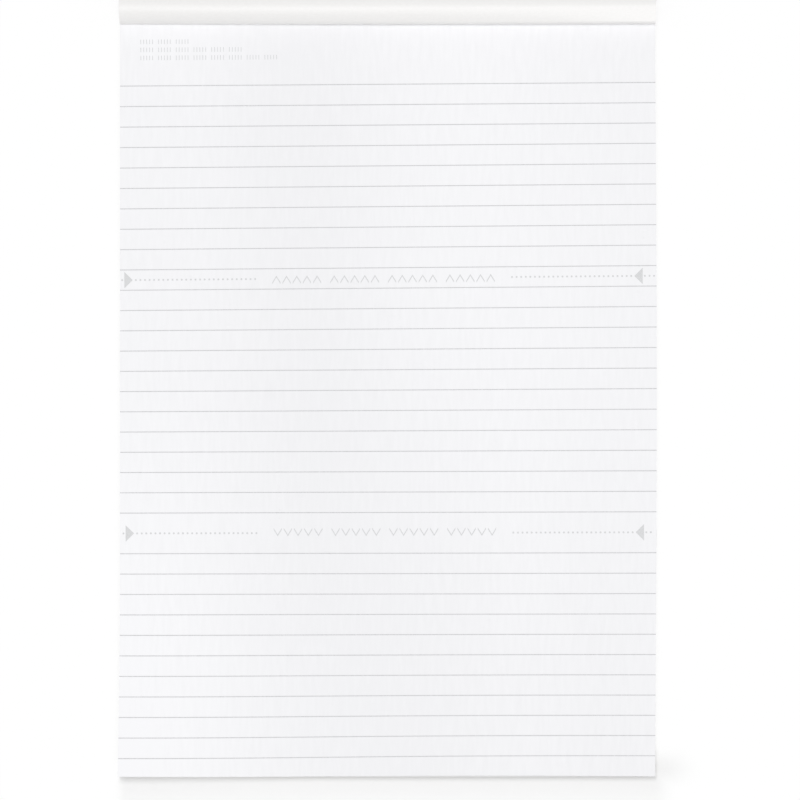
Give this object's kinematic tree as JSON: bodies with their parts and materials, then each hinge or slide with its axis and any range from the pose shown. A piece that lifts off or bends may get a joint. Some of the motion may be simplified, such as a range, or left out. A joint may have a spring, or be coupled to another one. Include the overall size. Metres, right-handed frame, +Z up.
{
  "type": "writing pad",
  "caption": "Head-glued ruled writing pad lying flat, its card cover turned back in a roll over the head and tucked under the board.",
  "frame": {"origin": "on the table, under the middle of the box round the pad and its rolled cover", "axes": "+Y along the sheets from the foot to the glued head, +X across the sheets to the right of the printed page, +Z up out of the page"},
  "size_m": [0.21, 0.3116, 0.0165],
  "materials": {
    "cover_card": "smooth uncoated off-white card",
    "grey_board": "recycled grey board with flecks",
    "sheet_paper": "matt bright white writing paper, cut edges",
    "guide_paper": "matt bright white paper",
    "padding_glue": "dried white padding glue",
    "line_ink": "light grey offset ink",
    "mark_ink": "pale grey offset ink"
  },
  "bodies": {
    "root": {"cover": "cover_card", "backing_board": "grey_board", "sheet_block": "sheet_paper", "guide_sheet": "guide_paper", "head_glue": "padding_glue", "ruled_lines": "line_ink", "fold_arrows": "mark_ink", "fold_dots": "mark_ink", "fold_chevrons": "mark_ink", "heading_ticks": "mark_ink"}
  },
  "joints": []
}
